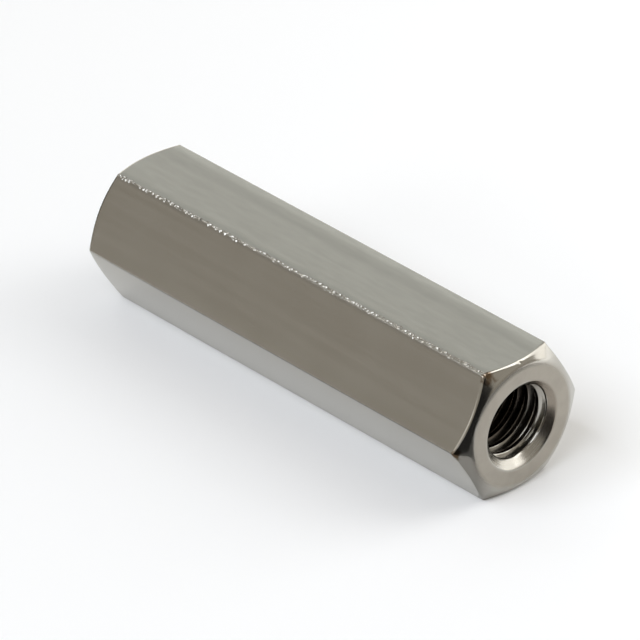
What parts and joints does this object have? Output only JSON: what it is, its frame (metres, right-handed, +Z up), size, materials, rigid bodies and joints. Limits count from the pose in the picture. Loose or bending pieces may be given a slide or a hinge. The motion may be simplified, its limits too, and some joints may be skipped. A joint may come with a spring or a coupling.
{
  "type": "hexagonal spacer stud",
  "caption": "Hexagonal metal spacer with a threaded bore along its axis, chamfered ends and countersunk mouths, for holding a board or plate off a panel.",
  "frame": {"origin": "middle of the flat it lies on, at floor level", "axes": "+X along the bore towards the end seen in the picture, +Z up, +Y across two corners"},
  "size_m": [0.03, 0.0092, 0.008],
  "materials": {
    "nickel_plate": "bright nickel plate over brass"
  },
  "bodies": {
    "root": {"spacer_stud": "nickel_plate"}
  },
  "joints": []
}
